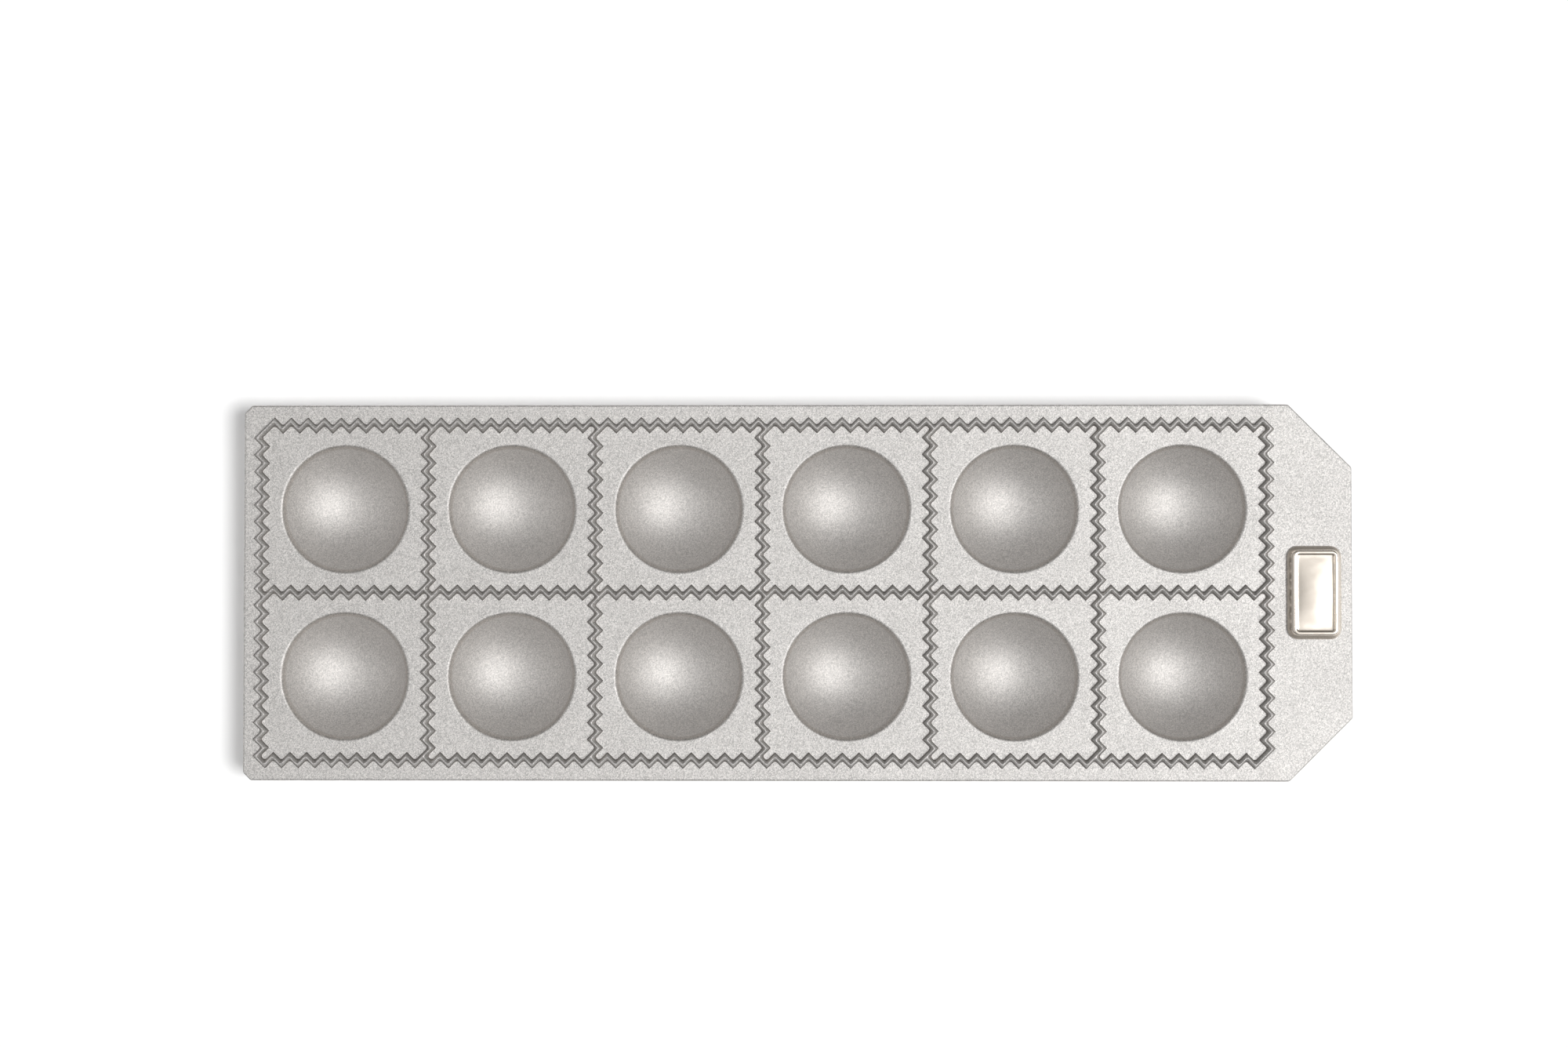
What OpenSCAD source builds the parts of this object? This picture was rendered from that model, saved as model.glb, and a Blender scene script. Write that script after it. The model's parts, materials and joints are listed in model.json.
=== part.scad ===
// Cast ravioli mould: a shallow hollow plate with a grid of round pockets. Raised zigzag ridges
// run round every pocket and cut the pasta. A plain bright badge sits at the wide grip end.
// Millimetres. X runs along the plate towards the grip end, Z is up, the plate stands on z = 0.

/* [Grid] */
// Number of pockets along the plate
pocket_cols = 6; // [2:1:7]
// Number of pockets across the plate
pocket_rows = 2; // [1:1:2]
// Distance between pocket centres, both ways
cell = 47; // [45:0.5:56]
// Flat margin between the grid and each long side
side_margin = 5.75; // [4:0.25:12]
// Flat margin between the grid and the plain end
end_margin = 5.15; // [4:0.05:12]
// Flat margin between the grid and the grip end
grip_margin = 23.85; // [22:0.05:40]

/* [Plate] */
// Height of the flat top above the table
plate_h = 15; // [14.5:0.25:20]
// Thickness of the top skin
skin_t = 3; // [2.6:0.1:4]
// Thickness of the skirt that stands on the table
wall_t = 2.5; // [2:0.25:3.5]
// Legs of the small corner cuts at the plain end
end_corner = 2.2; // [1:0.1:6]
// Legs of the large corner cuts at the grip end
grip_corner = 17.7; // [6:0.1:20]
// Bevel round the top edge
edge_bevel = 0.5; // [0.2:0.1:1]

/* [Pockets] */
// Diameter of a pocket where its bowl would meet the flat top
pocket_d = 35.4; // [30:0.1:36.4]
// Depth of a pocket below the flat top
pocket_depth = 12; // [9:0.25:12.5]
// Rounding of the pocket rim
rim_r = 1; // [0.4:0.1:1.4]
// Wall of the bowl under a pocket
bowl_wall = 2.2; // [1.6:0.1:2.6]
// Rounding where a bowl leaves the underside of the skin
root_r = 2; // [1:0.25:3]

/* [Ridges] */
// Teeth along one side of a cell
teeth = 10; // [6:1:12]
// Height of the ridges above the flat top
ridge_h = 2; // [1:0.1:3]
// Width of a ridge at its foot
ridge_w = 1.6; // [1:0.05:1.8]
// Width of the narrow land along a ridge's crest
crest_w = 0.24; // [0.1:0.02:0.6]
// How far the tips of the flats between the teeth are blunted, along X or Y
tip_cut = 0.45; // [0.2:0.05:0.6]

/* [Badge] */
// Size of the badge along the plate
badge_w = 15; // [10:0.5:16]
// Size of the badge across the plate
badge_l = 26; // [20:0.5:32]
// Thickness of the badge
badge_t = 2.8; // [2:0.1:4]
// Corner rounding of the badge
badge_r = 3; // [2.6:0.1:4]
// Height of the upright edge under the badge's bevel
badge_edge = 0.8; // [0.4:0.1:1.2]
// Slope width of the badge's bevel
badge_bevel = 1.3; // [0.5:0.1:1.5]
// Width of the flat rim round the badge's field
badge_rim = 0.9; // [0.5:0.1:1.5]
// Depth of the badge's field below its rim
badge_field = 0.6; // [0.3:0.1:1]
// Distance from the grip end to the middle of the badge
badge_inset = 10.7; // [10:0.1:12]
// Diameter of the badge's two studs
stud_d = 3; // [2:0.1:4]
// Length of the studs
stud_l = 1.8; // [1:0.1:1.9]
// Distance between the studs
stud_gap = 14; // [8:0.5:16]
// Play round and under the studs in their sockets
stud_play = 0.15; // [0.05:0.05:0.3]

/* [Hidden] */
$fn = 96;
// How far a cutter reaches past the face it opens
over = 1;
// How deep the ridges' feet are rooted in the plate
ridge_root = 0.3;
// How far the blocks that shape the ridges reach past their root and crest
ridge_spare = 0.05;
// The zigzags keep to whole multiples of this, so that their flanks are truly flat
grain = 0.001;
grid_l = pocket_cols * cell;
grid_w = pocket_rows * cell;
plate_l = end_margin + grid_l + grip_margin;
plate_w = grid_w + 2 * side_margin;
grid_x = (end_margin - grip_margin) / 2;
badge_x = plate_l / 2 - badge_inset;
pocket_r = pocket_d / 2;
bowl_r = (pocket_r * pocket_r + pocket_depth * pocket_depth) / (2 * pocket_depth);
bowl_z = plate_h - pocket_depth + bowl_r;
skin_z = plate_h - skin_t;
step = cell / (2 * teeth);
ridge_slope = (ridge_w - crest_w) / 2 / ridge_h;
foot_cut = min(tip_cut, 0.48 * (step - ridge_w / sqrt(2)));

// Outline of the plate seen from above, drawn in by a distance all round
module plate_outline(inset = 0) {
    x = plate_l / 2;
    y = plate_w / 2;
    offset(delta = -inset)
        polygon([
            [-x, end_corner - y], [end_corner - x, -y], [x - grip_corner, -y], [x, grip_corner - y],
            [x, y - grip_corner], [x - grip_corner, y], [end_corner - x, y], [-x, y - end_corner]
        ]);
}

// Puts a child at the centre of every pocket
module at_pockets() {
    for (col = [0 : pocket_cols - 1], row = [0 : pocket_rows - 1])
        translate([
            grid_x + (col + 0.5) * cell - grid_l / 2,
            (row + 0.5) * cell - grid_w / 2,
            0
        ])
            children();
}

// Half width of a ridge at a height
function half_width(z) = ridge_w / 2 - ridge_slope * (z - plate_h);

// How far a tip is blunted at a height: its small facet leans as much as the flanks do
function cut_at(z) = foot_cut + (sqrt(2) - 1) * ridge_slope * (z - plate_h);

function to_grain(x) = round(x / grain) * grain;

// Zigzag round a block of nx by ny steps, anticlockwise, drawn in by a distance square to its flanks
function zigzag(nx, ny, inset) =
    let (
        shift = to_grain(inset * sqrt(2)),
        lower = [for (k = [0 : nx - 2]) [
            (k + 0.5 - nx / 2) * step,
            ((k % 2 == 0 ? -0.5 : 0.5) - ny / 2) * step + shift
        ]],
        right = [for (k = [0 : ny - 2]) [
            ((k % 2 == 0 ? 0.5 : -0.5) + nx / 2) * step - shift,
            (k + 1.5 - ny / 2) * step
        ]]
    )
    concat(lower, right, -lower, -right);

// Blunts the corners of a zigzag that turn one way: 1 for the outward ones, -1 for the inward ones.
// Every leg of the zigzag runs at 45 degrees.
function blunt(loop, cut, turn) =
    let (n = len(loop))
    [for (i = [0 : n - 1])
        let (
            before = loop[i] - loop[(i + n - 1) % n],
            after = loop[(i + 1) % n] - loop[i]
        )
        each cross(before, after) * turn > 0
            ? [
                loop[i] - cut * [sign(before.x), sign(before.y)],
                loop[i] + cut * [sign(after.x), sign(after.y)]
            ]
            : [loop[i]]
    ];

// Solid between a low and a high loop. Each end is closed by triangles to hubs along its middle line.
module loft(low, high, z_low, z_high, length, width) {
    n = len(low);
    hubs = ceil(length / width);
    pitch = hubs > 1 ? (length - width) / (hubs - 1) : length;
    first = hubs > 1 ? (width - length) / 2 : 0;
    hub_of = [for (i = [0 : n - 1])
        let (mid = (low[i].x + low[(i + 1) % n].x) / 2)
        max(0, min(hubs - 1, round((mid - first) / pitch)))
    ];
    points = concat(
        [for (p = low) [p.x, p.y, z_low]],
        [for (p = high) [p.x, p.y, z_high]],
        [for (h = [0 : hubs - 1]) [first + h * pitch, 0, z_low]],
        [for (h = [0 : hubs - 1]) [first + h * pitch, 0, z_high]]
    );
    sides = [for (i = [0 : n - 1]) let (j = (i + 1) % n) [i, n + i, n + j, j]];
    fans = [for (i = [0 : n - 1]) [i, (i + 1) % n, hub_of[i]]];
    bridges = [for (i = [0 : n - 1])
        let (j = (i + 1) % n)
        if (hub_of[i] != hub_of[j]) [j, hub_of[j], hub_of[i]]
    ];
    polyhedron(points, concat(
        sides,
        [for (f = fans) [f[0], f[1], 2 * n + f[2]]],
        [for (f = fans) [n + f[1], n + f[0], 2 * n + hubs + f[2]]],
        [for (b = bridges) [b[0], 2 * n + b[1], 2 * n + b[2]]],
        [for (b = bridges) [2 * n + hubs + b[2], 2 * n + hubs + b[1], n + b[0]]]
    ));
}

// Outline of a block of nx by ny steps at a height, half a ridge's width inside the zigzag (side = 1)
// or outside it (side = -1)
function block_outline(nx, ny, side, z) =
    blunt(zigzag(nx, ny, side * half_width(z)), to_grain(cut_at(z)), side);

// Block with leaning flanks, a little taller than the ridges at both ends
module block(nx, ny, side) {
    z_low = plate_h - ridge_root - ridge_spare;
    z_high = plate_h + ridge_h + ridge_spare;
    loft(
        block_outline(nx, ny, side, z_low),
        block_outline(nx, ny, side, z_high),
        z_low, z_high, nx * step, ny * step
    );
}

// Cutting ridges round every pocket: one block out to their outer flanks, less the inside of each cell
module ridges() {
    n = 2 * teeth;
    difference() {
        intersection() {
            translate([grid_x, 0, 0]) block(n * pocket_cols, n * pocket_rows, -1);
            translate([-plate_l / 2, -plate_w / 2, plate_h - ridge_root])
                cube([plate_l, plate_w, ridge_root + ridge_h]);
        }
        at_pockets() block(n, n, 1);
    }
}

// Round pocket with its rounded rim, as a cutter
module pocket() {
    rim_x = sqrt(pow(bowl_r + rim_r, 2) - pow(bowl_z - plate_h + rim_r, 2));
    t = bowl_r / (bowl_r + rim_r);
    rotate_extrude() difference() {
        union() {
            intersection() {
                translate([0, bowl_z]) circle(bowl_r);
                translate([0, bowl_z - bowl_r - over]) square([bowl_r, pocket_depth + 2 * over]);
            }
            polygon([
                [0, bowl_z - t * (bowl_z - plate_h + rim_r)],
                [t * rim_x, bowl_z - t * (bowl_z - plate_h + rim_r)],
                [rim_x, plate_h],
                [rim_x, plate_h + over],
                [0, plate_h + over]
            ]);
        }
        translate([rim_x, plate_h - rim_r]) circle(rim_r);
    }
}

// Outside of the bowl under a pocket, with its rounded root at the skin
module bowl() {
    r = bowl_r + bowl_wall;
    root_x = sqrt(pow(r + root_r, 2) - pow(bowl_z - skin_z + root_r, 2));
    t = r / (r + root_r);
    rotate_extrude() difference() {
        union() {
            intersection() {
                translate([0, bowl_z]) circle(r);
                translate([0, bowl_z - r - over]) square([r, r + over - bowl_z + skin_z]);
            }
            polygon([
                [0, bowl_z - t * (bowl_z - skin_z + root_r)],
                [t * root_x, bowl_z - t * (bowl_z - skin_z + root_r)],
                [root_x, skin_z],
                [root_x, skin_z + over],
                [0, skin_z + over]
            ]);
        }
        translate([root_x, skin_z - root_r]) circle(root_r);
    }
}

// Hollow under the skin, round the bowls and inside the skirt
module underside() {
    difference() {
        translate([0, 0, -over]) linear_extrude(skin_z + over) plate_outline(wall_t);
        at_pockets() bowl();
    }
}

// Places of the two studs under the badge
module at_studs() {
    for (side = [-1, 1])
        translate([badge_x, side * stud_gap / 2, plate_h]) children();
}

module mould_plate() {
    color([0.78, 0.77, 0.75]) difference() {
        union() {
            hull() {
                linear_extrude(plate_h - edge_bevel) plate_outline();
                linear_extrude(plate_h) plate_outline(edge_bevel);
            }
            ridges();
        }
        underside();
        at_pockets() pocket();
        at_studs()
            translate([0, 0, -stud_l - stud_play])
                cylinder(d = stud_d + 2 * stud_play, h = stud_l + stud_play + over);
    }
}

// Flat slab with the badge's rounded outline, drawn in by a distance
module badge_slab(inset, h) {
    linear_extrude(h)
        offset(r = badge_r - inset, $fn = 32)
            square([badge_w - 2 * badge_r, badge_l - 2 * badge_r], center = true);
}

module badge() {
    color([0.74, 0.7, 0.64]) {
        translate([badge_x, 0, plate_h]) difference() {
            hull() {
                badge_slab(0, badge_edge);
                badge_slab(badge_bevel, badge_t);
            }
            translate([0, 0, badge_t - badge_field])
                badge_slab(badge_bevel + badge_rim, badge_field + over);
        }
        at_studs() translate([0, 0, -stud_l]) cylinder(d = stud_d, h = stud_l + badge_edge / 2);
    }
}

mould_plate();
badge();
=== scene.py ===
import json
import math

import bmesh
import bpy
from mathutils import Matrix, Vector
from mathutils.geometry import tessellate_polygon


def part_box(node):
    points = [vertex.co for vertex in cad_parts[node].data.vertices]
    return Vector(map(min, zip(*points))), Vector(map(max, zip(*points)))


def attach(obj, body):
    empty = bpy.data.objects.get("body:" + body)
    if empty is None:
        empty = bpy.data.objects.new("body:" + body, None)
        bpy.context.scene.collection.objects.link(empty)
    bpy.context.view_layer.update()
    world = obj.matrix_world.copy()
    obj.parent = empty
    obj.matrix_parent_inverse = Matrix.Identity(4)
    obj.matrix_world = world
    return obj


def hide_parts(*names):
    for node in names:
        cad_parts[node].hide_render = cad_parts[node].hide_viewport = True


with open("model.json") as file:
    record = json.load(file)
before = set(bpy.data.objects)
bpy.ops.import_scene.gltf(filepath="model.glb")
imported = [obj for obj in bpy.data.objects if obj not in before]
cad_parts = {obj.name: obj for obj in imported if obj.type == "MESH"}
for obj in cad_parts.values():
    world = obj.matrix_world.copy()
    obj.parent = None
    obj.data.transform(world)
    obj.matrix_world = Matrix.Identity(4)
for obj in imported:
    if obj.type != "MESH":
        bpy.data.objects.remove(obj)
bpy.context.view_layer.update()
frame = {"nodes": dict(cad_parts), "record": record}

MM = 0.001

# Grid of pockets. The frame gives the pockets' places and the plate's box
COLS = 6
ROWS = 2
CELL = 47 * MM
TEETH = 10

# Ridges: height, and half their width at the foot and on the crest
RIDGE_H = 2 * MM
FOOT = 0.8 * MM
LAND = 0.12 * MM
RIDGE_SOFT = 0.06 * MM

# Rounding of the zigzag's bends: on the crest line, at a flat's tip and in a notch, at the ridge's foot
BEND_CREST_R = 0.5 * MM
BEND_TIP_R = 0.75 * MM
BEND_NOTCH_R = 0.12 * MM
BEND_STEPS = 4

# Pockets, and the backs of their bowls. The radius is where a bowl would meet the flat top
POCKET_R = 17.7 * MM
POCKET_DEPTH = 12 * MM
RIM_R = 1 * MM
BOWL_WALL = 2.2 * MM
ROOT_R = 2 * MM
POCKET_STEPS = 80
BOWL_RINGS = 20
RIM_RINGS = 6
RIM_BOWL_RINGS = 2
BACK_STEPS = 48
BACK_RINGS = 8

# Skin, skirt and outline of the plate
SKIN_T = 3 * MM
WALL_T = 2.5 * MM
END_CORNER = 2.2 * MM
GRIP_CORNER = 17.7 * MM
OUTLINE_R = 1 * MM
TOP_EDGE_R = 0.5 * MM
BASE_EDGE_R = 0.3 * MM
SKIRT_FILLET = 1.2 * MM
CORNER_STEPS = 4

# Strip of flat kept round each raised or sunk form, so that its rounding doesn't shade the flat
FLAT_STRIP = 0.12 * MM

# Badge, from the flat top up. Soft is how far its edges are rounded
BADGE_JOINT = 0.15 * MM
BADGE_EDGE = 0.8 * MM
BADGE_BEVEL = 1.3 * MM
BADGE_RIM = 0.9 * MM
BADGE_SLOPE = 0.35 * MM
BADGE_FIELD = 0.6 * MM
BADGE_DOME = 0.25 * MM
BADGE_R = 3 * MM
BADGE_SOFT = 0.12 * MM
BADGE_CORNER_STEPS = 8
BADGE_SIDE_STEPS = 12
BADGE_DOME_RINGS = 12

# Slots of the casting's materials
PALE = 0
FLANK = 1
RIM = 2

# Meshes: smallest rounding of a corner, what counts as one point, and the angles that stay sharp
MIN_CORNER_R = 0.05 * MM
PLACE_GRID = 0.1 * MM
MERGE_GAP = 0.0005 * MM
SHORTEST_EDGE = 0.0002 * MM
CASTING_SHARP_DEGREES = 38
BADGE_SHARP_DEGREES = 50

# Sandy grain of the blasted metal: specks a metre, their height and their two tones
GRAIN_SCALE = 4000
GRAIN_DETAIL = 3.0
GRAIN_HARSHNESS = 0.8
GRAIN_DEPTH = 0.045 * MM
GRAIN_TONES = ((0.41, 0.399, 0.388), (0.88, 0.856, 0.832))

# Large faint patches in the gloss of the metal
PATCH_SCALE = 60
PATCH_DETAIL = 2.0
PATCH_SWING = 0.015

# Finish of the flats and of the pockets, which have a duller gloss and a weaker grain
FLAT_ROUGHNESS = 0.57
POCKET_ROUGHNESS = 0.66
POCKET_TONE = (0.862, 0.837, 0.816)
POCKET_GRAIN = 0.72
FULL_GRAIN_DEPTH = 0.3 * RIM_R

# Painted shade, a faint darker ring on a pocket's rim: how deep its band reaches, and the ring's two places
# in the band, upwards
RIM_SHADE_BAND = 2 * RIM_R
RIM_RING = (0.4, 0.9)
RIM_SHADE_TONE = (0.88, 0.86, 0.84)

# Painted shade at the foot of the ridges' flanks: its tone, and the height where it ends
FLANK_SHADE_TONE = (0.42, 0.405, 0.39)
FLANK_SHADE_REACH = 0.7 * RIDGE_H

# Polished nickel: its two tones, its roughness from smooth to hazy, and the size of the haze
NICKEL_TONES = ((0.74, 0.67, 0.59), (0.82, 0.75, 0.67))
NICKEL_ROUGHNESS = (0.17, 0.21)
HAZE_SCALE = 500
HAZE_DETAIL = 3.0

# White table: its size in metres, and the share of its light that is added again for what is seen of it
TABLE_SIZE = 40
TABLE_GAIN = 0.3

# Lamps: name, direction that the light comes from, strength and how many degrees wide it is
LAMPS = [
    ("key", (0.477, -0.10, 0.92), 1.55, 21),
    ("overhead", (0, 0, 1), 0.37, 60),
    ("side", (0.6, -0.2, 1), 0.34, 60),
    ("fill", (-0.9, 0, 1), 0.43, 60),
]
LAMP_DISTANCE = 2

# Surroundings: brightness overhead and at the horizon, and how high (as a sine) the horizon's light reaches
ZENITH = 0.03
HORIZON = 0.5
HORIZON_REACH = 0.5

# Camera, with its sensor and lens in millimetres. Its height is above the flat top
SENSOR_WIDTH = 36
LENS = 61.3
CAMERA_XY = (9.6 * MM, 0.6 * MM)
CAMERA_HEIGHT = 749 * MM
AIM_XY = (-3.35 * MM, 19.4 * MM)
NEAREST = 10 * MM

plate_low, plate_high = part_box("mould_plate")
badge_low, badge_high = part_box("badge")
BASE_Z = plate_low.z
CREST_Z = plate_high.z
TOP_Z = CREST_Z - RIDGE_H
SKIN_Z = TOP_Z - SKIN_T
STEP = CELL / (2 * TEETH)
BOWL_R = (POCKET_R ** 2 + POCKET_DEPTH ** 2) / (2 * POCKET_DEPTH)
BOWL_Z = TOP_Z - POCKET_DEPTH + BOWL_R


def pocket_centres():
    """Middles of the pockets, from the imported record's openings."""
    boxes = [
        o["box_m"] for o in frame["record"]["physics"]["openings"]
        if o["name"].startswith("pocket")
    ]
    return [Vector(((lo[0] + hi[0]) / 2, (lo[1] + hi[1]) / 2)) for lo, hi in boxes]


POCKETS = pocket_centres()
GRID = sum(POCKETS, Vector((0, 0))) / len(POCKETS)


# Zigzag lines

def zigzag_nodes(nx, ny):
    """Bends of the zigzag round a block of nx by ny steps, anticlockwise, in steps from its middle.

    Each is (place, shift): shift is how the place moves when the line is drawn in by one unit
    along X or Y. The corners where the line runs straight on get a node of their own.
    """
    lower = [
        (Vector((k + 0.5 - nx / 2, (-0.5 if k % 2 == 0 else 0.5) - ny / 2)), Vector((0, 1)))
        for k in range(nx - 1)
    ]
    straight = [(Vector((nx / 2 - 0.5, 0.5 - ny / 2)), Vector((-0.5, 0.5)))]
    right = [
        (Vector(((0.5 if k % 2 == 0 else -0.5) + nx / 2, k + 1.5 - ny / 2)), Vector((-1, 0)))
        for k in range(ny - 1)
    ]
    half = lower + straight + right
    return half + [(-place, -shift) for place, shift in half]


def fork_places():
    """Where three ridges meet, in metres: these bends stay sharp along the crest line."""
    forks = []
    for i in range(COLS + 1):
        for j in range(ROWS + 1):
            x = GRID.x + (i - COLS / 2) * CELL
            y = GRID.y + (j - ROWS / 2) * CELL
            if i > 0 and j < ROWS and (i, j) != (COLS, 0):
                forks.append(Vector((x - STEP / 2, y + STEP / 2)))
            if i < COLS and j > 0 and (i, j) != (0, ROWS):
                forks.append(Vector((x + STEP / 2, y - STEP / 2)))
    return {rounded(p) for p in forks}


def rounded(p):
    """A place as whole steps of a coarse grid, to look it up by."""
    return (round(p.x / PLACE_GRID), round(p.y / PLACE_GRID))


FORKS = fork_places()


def bend_radius(distance, is_tip, is_fork):
    """Rounding of a bend at a distance from the crest line: flats' tips are round, notches sharp."""
    if distance == 0:
        return 0 if is_fork else BEND_CREST_R
    foot_r = BEND_TIP_R if is_tip else BEND_NOTCH_R
    share = max(0, (distance - LAND) / (FOOT - LAND))
    if share > 1:
        return max(foot_r - (distance - FOOT), BEND_NOTCH_R) if is_tip else foot_r
    return BEND_CREST_R + (foot_r - BEND_CREST_R) * share


def zigzag_ring(nx, ny, middle, distance, side):
    """Rounded zigzag at a distance from the crest line.

    Side is 1 towards the middle of the block and -1 away from it.
    """
    nodes = zigzag_nodes(nx, ny)
    ring = []
    for i, (place, shift) in enumerate(nodes):
        before = (place - nodes[i - 1][0]).normalized()
        after = (nodes[(i + 1) % len(nodes)][0] - place).normalized()
        home = middle + place * STEP
        corner = home + shift * (side * distance * math.sqrt(2))
        turn = round(before.x * after.y - before.y * after.x)
        if turn == 0:
            ring.append(corner)
            continue
        r = bend_radius(distance, turn * side > 0, rounded(home) in FORKS)
        for s in range(BEND_STEPS + 1):
            a = math.pi / 2 * s / BEND_STEPS
            ring.append(corner + r * (after - before + math.sin(a) * before - math.cos(a) * after))
    return ring


# Ridge section from the flat to the middle of the crest: distance from the crest line, height
RIDGE_SECTION = [
    (FOOT + RIDGE_SOFT + FLAT_STRIP, 0),
    (FOOT + RIDGE_SOFT, 0),
    (FOOT, 0.5 * RIDGE_SOFT),
    (FOOT - RIDGE_SOFT, 2 * RIDGE_SOFT),
    (LAND + 0.5 * RIDGE_SOFT, RIDGE_H - RIDGE_SOFT),
    (LAND * 2 / 3, RIDGE_H - 0.2 * RIDGE_SOFT),
    (0, RIDGE_H),
]


# Mesh helpers

def add_ring(bm, points, z):
    """New points of a closed ring at one height."""
    return [bm.verts.new((p[0], p[1], z)) for p in points]


def bands(bm, rings, slots=None):
    """Quads between each closed ring and the next. Slots give the material of each band."""
    for k, (a, b) in enumerate(zip(rings, rings[1:])):
        for i in range(len(a)):
            j = (i + 1) % len(a)
            face = bm.faces.new((a[i], a[j], b[j], b[i]))
            if slots:
                face.material_index = slots[k]


def fill(bm, outer, holes=()):
    """Flat face inside a ring, round the holes."""
    verts = list(outer) + [v for hole in holes for v in hole]
    loops = [[v.co for v in loop] for loop in (outer, *holes)]
    for triangle in tessellate_polygon(loops):
        bm.faces.new([verts[i] for i in triangle])


def fan(bm, ring, x, y, z):
    """Closes a ring with triangles to one point."""
    middle = bm.verts.new((x, y, z))
    for i, v in enumerate(ring):
        bm.faces.new((v, ring[(i + 1) % len(ring)], middle))


def circle(centre, r, steps):
    """Points round a circle, anticlockwise."""
    return [
        centre + r * Vector((math.cos(2 * math.pi * i / steps), math.sin(2 * math.pi * i / steps)))
        for i in range(steps)
    ]


def rounded_polygon(corners, inset, radius, steps, side_steps=1):
    """Polygon drawn in by a distance, with its corners rounded and its sides cut into side_steps.

    The corners run anticlockwise.
    """
    r = max(radius - inset, MIN_CORNER_R)
    n = len(corners)
    arcs = []
    for i, corner in enumerate(corners):
        before = (corner - corners[i - 1]).normalized()
        after = (corners[(i + 1) % n] - corner).normalized()
        out_a = Vector((before.y, -before.x))
        out_b = Vector((after.y, -after.x))
        centre = corner - (out_a + out_b) * (inset + r) / (1 + out_a.dot(out_b))
        turn = out_a.angle(out_b)
        start = math.atan2(out_a.y, out_a.x)
        angles = [start + turn * s / steps for s in range(steps + 1)]
        arcs.append([centre + r * Vector((math.cos(a), math.sin(a))) for a in angles])
    points = []
    for i, arc in enumerate(arcs):
        following = arcs[(i + 1) % n][0]
        points += arc
        points += [arc[-1].lerp(following, s / side_steps) for s in range(1, side_steps)]
    return points


def quarter(steps):
    """Sine and cosine at even steps from 0 to 90 degrees."""
    angles = [math.pi / 2 * s / steps for s in range(steps + 1)]
    return [(math.sin(a), math.cos(a)) for a in angles]


def make_object(name, bm, sharp_degrees):
    """Turns a closed mesh into a piece, smooth up to the given angle between faces."""
    bmesh.ops.remove_doubles(bm, verts=bm.verts, dist=MERGE_GAP)
    bmesh.ops.dissolve_degenerate(bm, edges=bm.edges, dist=SHORTEST_EDGE)
    bmesh.ops.recalc_face_normals(bm, faces=bm.faces)
    mesh = bpy.data.meshes.new(name)
    bm.to_mesh(mesh)
    bm.free()
    mesh.shade_smooth()
    mesh.set_sharp_from_angle(angle=math.radians(sharp_degrees))
    piece = bpy.data.objects.new(name, mesh)
    bpy.context.scene.collection.objects.link(piece)
    return piece


# Casting

def plate_corners():
    """Corners of the plate's outline, anticlockwise."""
    x0, x1 = plate_low.x, plate_high.x
    y0, y1 = plate_low.y, plate_high.y
    e, g = END_CORNER, GRIP_CORNER
    return [Vector(p) for p in (
        (x0, y0 + e), (x0 + e, y0), (x1 - g, y0), (x1, y0 + g),
        (x1, y1 - g), (x1 - g, y1), (x0 + e, y1), (x0, y1 - e),
    )]


def pocket_rings(bm, centre):
    """Rounded rim and bowl of a pocket. Returns the rim's outer ring, which lies in the flat."""
    rim_x = math.sqrt((BOWL_R + RIM_R) ** 2 - (BOWL_Z - TOP_Z + RIM_R) ** 2)
    end = math.atan2(BOWL_Z - TOP_Z + RIM_R, -rim_x)
    rings = [add_ring(bm, circle(centre, rim_x + FLAT_STRIP, POCKET_STEPS), TOP_Z)]
    for s in range(RIM_RINGS + 1):
        a = math.pi / 2 + (end - math.pi / 2) * s / RIM_RINGS
        rings.append(add_ring(
            bm, circle(centre, rim_x + RIM_R * math.cos(a), POCKET_STEPS),
            TOP_Z - RIM_R + RIM_R * math.sin(a),
        ))
    tilt = end - math.pi / 2
    for s in range(1, BOWL_RINGS):
        a = tilt * (1 - s / BOWL_RINGS)
        rings.append(add_ring(
            bm, circle(centre, BOWL_R * math.sin(a), POCKET_STEPS), BOWL_Z - BOWL_R * math.cos(a)
        ))
    rim_bands = RIM_RINGS + 1 + RIM_BOWL_RINGS
    bands(bm, rings, [RIM] * rim_bands + [PALE] * (len(rings) - 1 - rim_bands))
    fan(bm, rings[-1], centre.x, centre.y, BOWL_Z - BOWL_R)
    return rings[0]


def back_rings(bm, centre):
    """Back of a bowl under the skin. Returns its root ring, which lies in the skin's underside."""
    r = BOWL_R + BOWL_WALL
    root_x = math.sqrt((r + ROOT_R) ** 2 - (BOWL_Z - SKIN_Z + ROOT_R) ** 2)
    end = math.atan2(BOWL_Z - SKIN_Z + ROOT_R, -root_x)
    rings = [add_ring(bm, circle(centre, root_x + FLAT_STRIP, BACK_STEPS), SKIN_Z)]
    for s in range(CORNER_STEPS + 1):
        a = math.pi / 2 + (end - math.pi / 2) * s / CORNER_STEPS
        rings.append(add_ring(
            bm, circle(centre, root_x + ROOT_R * math.cos(a), BACK_STEPS),
            SKIN_Z - ROOT_R + ROOT_R * math.sin(a),
        ))
    tilt = end - math.pi / 2
    for s in range(1, BACK_RINGS):
        a = tilt * (1 - s / BACK_RINGS)
        rings.append(add_ring(bm, circle(centre, r * math.sin(a), BACK_STEPS), BOWL_Z - r * math.cos(a)))
    bands(bm, rings)
    fan(bm, rings[-1], centre.x, centre.y, BOWL_Z - r)
    return rings[0]


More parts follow.
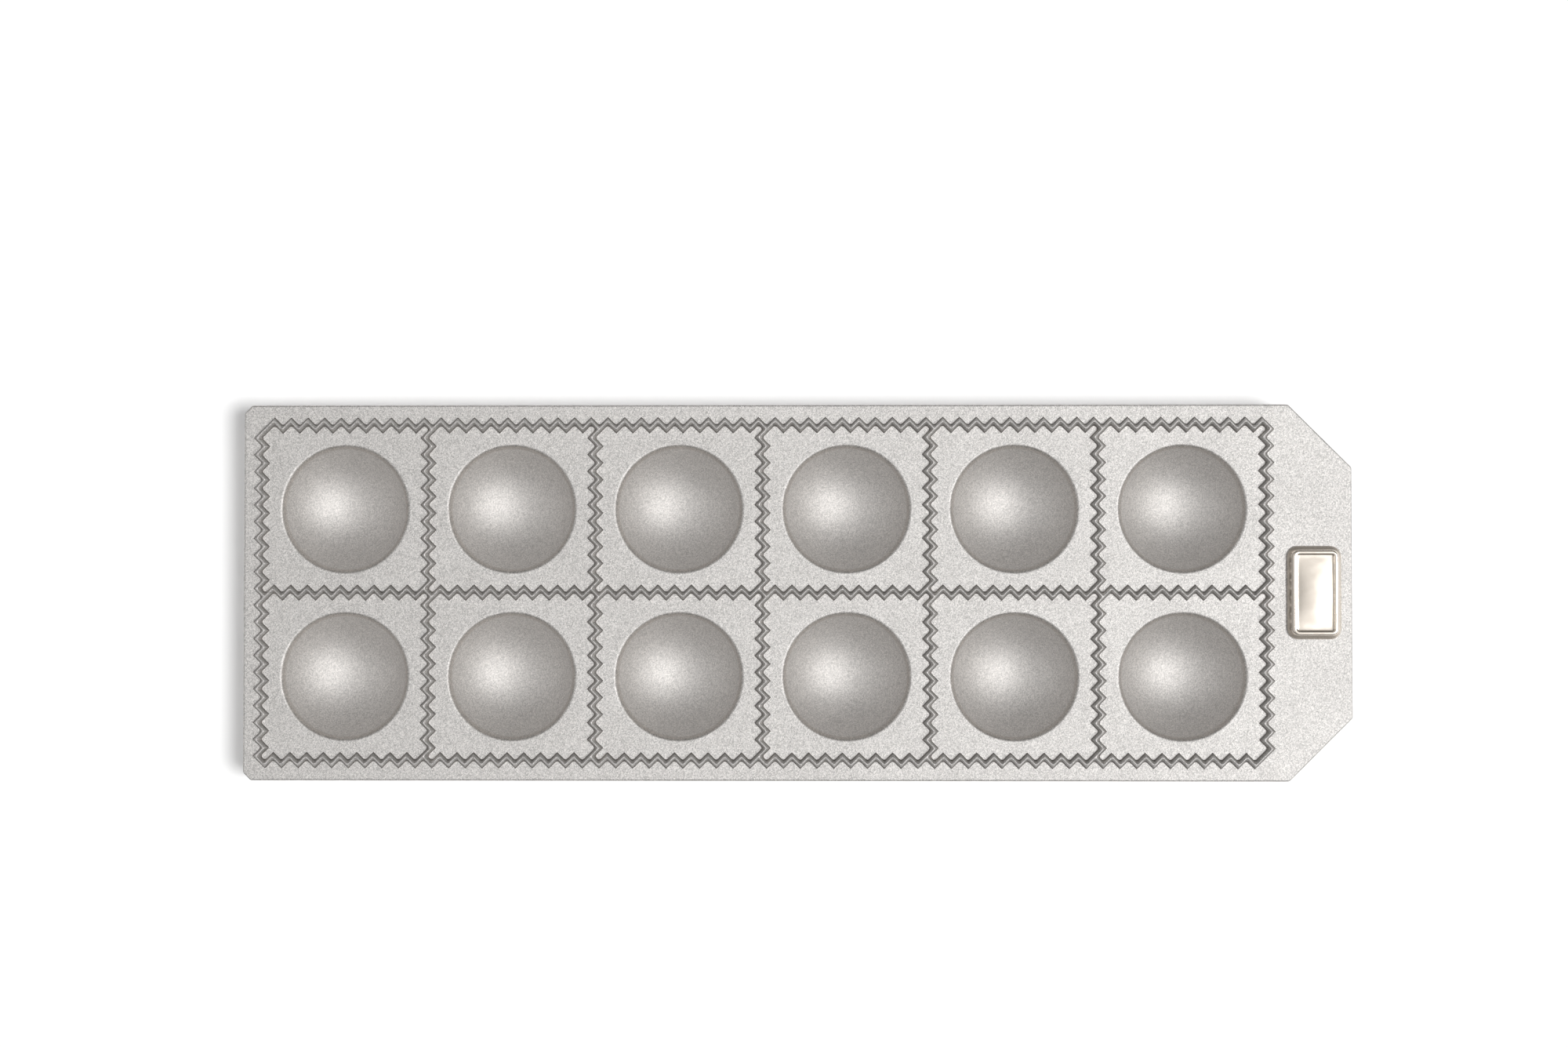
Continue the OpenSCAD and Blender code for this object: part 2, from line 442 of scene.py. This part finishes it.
def skirt_rings(bm):
    """Plate's outside, standing rim and inner wall. Returns the rings in the top and in the underside."""
    corners = plate_corners()
    section = [(TOP_EDGE_R + FLAT_STRIP, TOP_Z)]
    section += [(TOP_EDGE_R * (1 - s), TOP_Z - TOP_EDGE_R * (1 - c)) for s, c in quarter(CORNER_STEPS)]
    section += [(BASE_EDGE_R * (1 - c), BASE_Z + BASE_EDGE_R * (1 - s)) for s, c in quarter(CORNER_STEPS)]
    section += [
        (WALL_T - BASE_EDGE_R * (1 - s), BASE_Z + BASE_EDGE_R * (1 - c)) for s, c in quarter(CORNER_STEPS)
    ]
    section += [
        (WALL_T + SKIRT_FILLET * (1 - c), SKIN_Z - SKIRT_FILLET * (1 - s)) for s, c in quarter(CORNER_STEPS)
    ]
    section += [(WALL_T + SKIRT_FILLET + FLAT_STRIP, SKIN_Z)]
    rings = [
        add_ring(bm, rounded_polygon(corners, inset, OUTLINE_R, CORNER_STEPS), z) for inset, z in section
    ]
    bands(bm, rings)
    return rings[0], rings[-1]


def ridge_rings(bm, nx, ny, middle, side):
    """Half of the ridges round a block, from the flat to the crest line. Returns the ring in the flat."""
    rings = [
        add_ring(bm, zigzag_ring(nx, ny, middle, distance, side), TOP_Z + height)
        for distance, height in RIDGE_SECTION
    ]
    bands(bm, rings, [PALE, PALE, FLANK, FLANK, PALE, PALE])
    return rings[0]


def make_casting():
    """The whole plate as one closed mesh: flats, ridges, pockets, skirt and underside."""
    bm = bmesh.new()
    n = 2 * TEETH
    for centre in POCKETS:
        flat_edge = ridge_rings(bm, n, n, centre, 1)
        fill(bm, flat_edge, [pocket_rings(bm, centre)])
    top_edge, under_edge = skirt_rings(bm)
    fill(bm, top_edge, [ridge_rings(bm, n * COLS, n * ROWS, GRID, -1)])
    fill(bm, under_edge, [back_rings(bm, centre) for centre in POCKETS])
    return make_object("casting", bm, CASTING_SHARP_DEGREES)


# Badge

def badge_section(top):
    """Badge from its joint line up and in to its field: distance in from the outline, height."""
    soft = BADGE_SOFT
    rim_in = BADGE_BEVEL + BADGE_RIM
    field_in = rim_in + BADGE_SLOPE + soft
    return [
        (BADGE_JOINT, TOP_Z),
        (BADGE_JOINT, TOP_Z + BADGE_JOINT),
        (0, TOP_Z + 1.6 * BADGE_JOINT),
        (0, TOP_Z + BADGE_EDGE - soft),
        (0.35 * soft, TOP_Z + BADGE_EDGE + 0.5 * soft),
        (BADGE_BEVEL - 0.6 * soft, top - 0.75 * soft),
        (BADGE_BEVEL + 0.6 * soft, top),
        (rim_in - 0.6 * soft, top),
        (rim_in + 0.3 * soft, top - 0.6 * soft),
        (field_in - 1.6 * soft, top - BADGE_FIELD + 0.3 * soft),
        (field_in, top - BADGE_FIELD),
    ]


def add_dome(bm, outline, edge, middle, half, z):
    """Closes the ring round the badge's field with a slight dome. Half is the field's size, halved."""
    dome = [edge]
    for s in range(1, BADGE_DOME_RINGS):
        ring = []
        for p in outline:
            q = (p - middle) * (1 - s / BADGE_DOME_RINGS)
            rise = BADGE_DOME * (1 - (q.x / half.x) ** 2) * (1 - (q.y / half.y) ** 2)
            ring.append(bm.verts.new((middle.x + q.x, middle.y + q.y, z + rise)))
        dome.append(ring)
    bands(bm, dome)
    fan(bm, dome[-1], middle.x, middle.y, z + BADGE_DOME)


def make_badge():
    """Plain plaque: joint line at its foot, upright edge, bevel, rim and an empty, slightly domed field."""
    x0, x1 = badge_low.x, badge_high.x
    y0, y1 = badge_low.y, badge_high.y
    corners = [Vector(p) for p in ((x0, y0), (x1, y0), (x1, y1), (x0, y1))]
    section = badge_section(badge_high.z)
    outlines = [
        rounded_polygon(corners, inset, BADGE_R, BADGE_CORNER_STEPS, BADGE_SIDE_STEPS)
        for inset, z in section
    ]
    bm = bmesh.new()
    rings = [add_ring(bm, outline, z) for outline, (inset, z) in zip(outlines, section)]
    bands(bm, rings)
    fill(bm, rings[0])
    field_in, field_z = section[-1]
    middle = Vector(((x0 + x1) / 2, (y0 + y1) / 2))
    half = Vector(((x1 - x0) / 2 - field_in, (y1 - y0) / 2 - field_in))
    add_dome(bm, outlines[-1], rings[-1], middle, half, field_z)
    return make_object("badge_plaque", bm, BADGE_SHARP_DEGREES)


# Materials

def new_material(name):
    """A material with an empty Principled shader. Returns both."""
    material = bpy.data.materials.new(name)
    material.use_nodes = True
    nodes = material.node_tree.nodes
    nodes.clear()
    output = nodes.new("ShaderNodeOutputMaterial")
    shader = nodes.new("ShaderNodeBsdfPrincipled")
    material.node_tree.links.new(shader.outputs["BSDF"], output.inputs["Surface"])
    return material, shader


def add_node(material, kind, **inputs):
    """Adds a node and sets its inputs by name."""
    node = material.node_tree.nodes.new(kind)
    for key, value in inputs.items():
        node.inputs[key].default_value = value
    return node


def noise(material, scale, detail, roughness=0.5):
    """Noise in object space, so that its grain keeps its real size. Scale is in features a metre."""
    place = material.node_tree.nodes.new("ShaderNodeTexCoord")
    node = add_node(material, "ShaderNodeTexNoise", Scale=scale, Detail=detail, Roughness=roughness)
    material.node_tree.links.new(place.outputs["Object"], node.inputs["Vector"])
    return node


def spread(material, value, low, high, from_low=0.3, from_high=0.7):
    """Maps a value onto a range. It comes from a range too, or else from the middle of a texture's."""
    node = add_node(material, "ShaderNodeMapRange")
    node.inputs["From Min"].default_value = from_low
    node.inputs["From Max"].default_value = from_high
    node.inputs["To Min"].default_value = low
    node.inputs["To Max"].default_value = high
    material.node_tree.links.new(value, node.inputs["Value"])
    return node.outputs["Result"]


def mixed_colour(material, factor, a, b, blend="MIX"):
    """Mixes two colours. The factor and the colours are each a value or another node's output."""
    node = material.node_tree.nodes.new("ShaderNodeMix")
    node.data_type = "RGBA"
    node.blend_type = blend
    for socket, value in (("Factor", factor), ("A", a), ("B", b)):
        if isinstance(value, bpy.types.NodeSocket):
            material.node_tree.links.new(value, node.inputs[socket])
        elif isinstance(value, tuple):
            node.inputs[socket].default_value = (*value, 1)
        else:
            node.inputs[socket].default_value = value
    return node.outputs["Result"]


def specks(material, scale):
    """Small specks in object space, each with a random value of its own."""
    place = material.node_tree.nodes.new("ShaderNodeTexCoord")
    node = add_node(material, "ShaderNodeTexVoronoi", Scale=scale)
    material.node_tree.links.new(place.outputs["Object"], node.inputs["Vector"])
    return node.outputs["Color"]


def height_range(material, low, high, from_z, to_z):
    """A value that runs from low to high between two heights in the frame."""
    place = material.node_tree.nodes.new("ShaderNodeTexCoord")
    split = material.node_tree.nodes.new("ShaderNodeSeparateXYZ")
    material.node_tree.links.new(place.outputs["Object"], split.inputs[0])
    return spread(material, split.outputs["Z"], low, high, from_z, to_z)


def blasted_metal(name):
    """Bead-blasted aluminium: a wide soft gloss with a fine sandy grain.

    Returns the material, its shader and its colour.
    """
    material, shader = new_material(name)
    link = material.node_tree.links.new
    shader.inputs["Metallic"].default_value = 1.0
    patches = noise(material, PATCH_SCALE, PATCH_DETAIL)
    rough = add_node(material, "ShaderNodeMath")
    link(spread(material, patches.outputs["Fac"], -PATCH_SWING, PATCH_SWING), rough.inputs[0])
    link(height_range(material, POCKET_ROUGHNESS, FLAT_ROUGHNESS, TOP_Z - RIM_R, TOP_Z), rough.inputs[1])
    link(rough.outputs[0], shader.inputs["Roughness"])
    grain = noise(material, GRAIN_SCALE, GRAIN_DETAIL, GRAIN_HARSHNESS)
    bump = add_node(material, "ShaderNodeBump", Strength=1.0, Distance=GRAIN_DEPTH)
    link(grain.outputs["Fac"], bump.inputs["Height"])
    link(bump.outputs["Normal"], shader.inputs["Normal"])
    speckled = mixed_colour(material, specks(material, GRAIN_SCALE), *GRAIN_TONES)
    share = height_range(material, POCKET_GRAIN, 1.0, TOP_Z - RIM_R, TOP_Z - FULL_GRAIN_DEPTH)
    colour = mixed_colour(material, share, POCKET_TONE, speckled)
    link(colour, shader.inputs["Base Color"])
    return material, shader, colour


def darken_colour(material, shader, colour, tone):
    """Darkens a metal's colour by a tone, for the painted shade on the flanks and the rims."""
    darkened = mixed_colour(material, 1.0, colour, tone, "MULTIPLY")
    material.node_tree.links.new(darkened, shader.inputs["Base Color"])


def cast_aluminium():
    """Pale metal of the flats, the bowls, the rim and the ridges' crests."""
    return blasted_metal("blasted_aluminium")[0]


def ridge_flanks():
    """Same metal, with painted shade that darkens it towards the ridge's foot."""
    material, shader, colour = blasted_metal("ridge_flank")
    height = height_range(material, 0.0, 1.0, TOP_Z, TOP_Z + FLANK_SHADE_REACH)
    # painted shade: the flank's colour darkens towards the foot
    darken_colour(material, shader, colour, mixed_colour(material, height, FLANK_SHADE_TONE, (1, 1, 1)))
    return material


def pocket_rims():
    """Same metal, with a faint ring of painted shade where the rounded rim turns down into the bowl."""
    material, shader, colour = blasted_metal("pocket_rim")
    ring = material.node_tree.nodes.new("ShaderNodeValToRGB")
    stops = ring.color_ramp.elements
    stops[0].color = (1, 1, 1, 1)
    stops[1].color = (1, 1, 1, 1)
    for place in RIM_RING:
        stops.new(place).color = (*RIM_SHADE_TONE, 1)
    height = height_range(material, 0.0, 1.0, TOP_Z - RIM_SHADE_BAND, TOP_Z)
    material.node_tree.links.new(height, ring.inputs["Fac"])
    # painted shade: a darker ring in the rim's colour
    darken_colour(material, shader, colour, ring.outputs["Color"])
    return material


def polished_nickel():
    """Bright, warm nickel with a trace of polishing haze."""
    material, shader = new_material("polished_nickel")
    link = material.node_tree.links.new
    shader.inputs["Metallic"].default_value = 1.0
    haze = noise(material, HAZE_SCALE, HAZE_DETAIL)
    link(mixed_colour(material, haze.outputs["Fac"], *NICKEL_TONES), shader.inputs["Base Color"])
    link(spread(material, haze.outputs["Fac"], *NICKEL_ROUGHNESS), shader.inputs["Roughness"])
    return material


def seen_rays(material):
    """1 for rays from the camera, off a shiny piece or through a clear one, and 0 for all others."""
    path = add_node(material, "ShaderNodeLightPath")
    seen = path.outputs["Is Camera Ray"]
    for kind in ("Is Glossy Ray", "Is Transmission Ray"):
        either = add_node(material, "ShaderNodeMath")
        either.operation = "MAXIMUM"
        material.node_tree.links.new(seen, either.inputs[0])
        material.node_tree.links.new(path.outputs[kind], either.inputs[1])
        seen = either.outputs[0]
    return seen


def white_table():
    """White floor that keeps shadows. What the camera and reflections see of it is lifted to full white."""
    material = bpy.data.materials.new("white_table")
    material.use_nodes = True
    material.node_tree.nodes.clear()
    link = material.node_tree.links.new
    gain = add_node(material, "ShaderNodeMath")
    gain.operation = "MULTIPLY"
    gain.inputs[1].default_value = TABLE_GAIN
    link(seen_rays(material), gain.inputs[0])
    lifted = add_node(material, "ShaderNodeBsdfDiffuse")
    link(gain.outputs[0], lifted.inputs["Color"])
    both = add_node(material, "ShaderNodeAddShader")
    link(add_node(material, "ShaderNodeBsdfDiffuse", Color=(1, 1, 1, 1)).outputs[0], both.inputs[0])
    link(lifted.outputs[0], both.inputs[1])
    link(both.outputs[0], add_node(material, "ShaderNodeOutputMaterial").inputs["Surface"])
    return material


# Stage

def make_table():
    """Wide floor under the plate."""
    bpy.ops.mesh.primitive_plane_add(size=TABLE_SIZE, location=(0, 0, BASE_Z))
    table = bpy.context.object
    table.name = "table"
    table.data.materials.append(white_table())


def aim(thing, target):
    """Turns a camera or lamp to a point, with +Y up in its picture."""
    forward = (target - thing.location).normalized()
    right = forward.cross(Vector((0, 1, 0))).normalized()
    thing.rotation_euler = Matrix((right, right.cross(forward), -forward)).transposed().to_euler()


def make_sun(name, direction, strength, degrees):
    """Soft lamp that shines from a direction, as wide as the given angle."""
    data = bpy.data.lights.new(name, "SUN")
    data.energy = strength
    data.angle = math.radians(degrees)
    lamp = bpy.data.objects.new(name, data)
    lamp.location = Vector(direction).normalized() * LAMP_DISTANCE
    aim(lamp, Vector((0, 0, 0)))
    bpy.context.scene.collection.objects.link(lamp)


def make_camera():
    """Camera nearly straight above the plate, as far away as the photograph's perspective says."""
    data = bpy.data.cameras.new("camera")
    data.sensor_width = SENSOR_WIDTH
    data.lens = LENS
    data.clip_start = NEAREST
    camera = bpy.data.objects.new("camera", data)
    camera.location = Vector((*CAMERA_XY, TOP_Z + CAMERA_HEIGHT))
    aim(camera, Vector((*AIM_XY, TOP_Z)))
    bpy.context.scene.collection.objects.link(camera)
    bpy.context.scene.camera = camera


def make_world():
    """Dark grey surroundings, lighter towards the horizon."""
    world = bpy.data.worlds.new("world")
    bpy.context.scene.world = world
    world.use_nodes = True
    background = world.node_tree.nodes["Background"]
    background.inputs["Color"].default_value = (1, 1, 1, 1)
    place = world.node_tree.nodes.new("ShaderNodeTexCoord")
    split = world.node_tree.nodes.new("ShaderNodeSeparateXYZ")
    world.node_tree.links.new(place.outputs["Generated"], split.inputs[0])
    level = spread(world, split.outputs["Z"], HORIZON, ZENITH, 0, HORIZON_REACH)
    world.node_tree.links.new(level, background.inputs["Strength"])


def dress(piece, materials, node):
    """Gives a piece its materials and puts it in the place of its CAD node."""
    for material in materials:
        piece.data.materials.append(material)
    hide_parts(node)
    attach(piece, "root")


def dress_cad(node, material):
    """Gives a CAD node one of the scene's materials."""
    cad = frame["nodes"][node]
    cad.data.materials.clear()
    cad.data.materials.append(bpy.data.materials[material])


make_camera()
make_world()
for lamp in LAMPS:
    make_sun(*lamp)
make_table()
dress(make_casting(), [cast_aluminium(), ridge_flanks(), pocket_rims()], "mould_plate")
dress(make_badge(), [polished_nickel()], "badge")
dress_cad("mould_plate", "blasted_aluminium")
dress_cad("badge", "polished_nickel")

bpy.context.scene.view_settings.view_transform = "Standard"
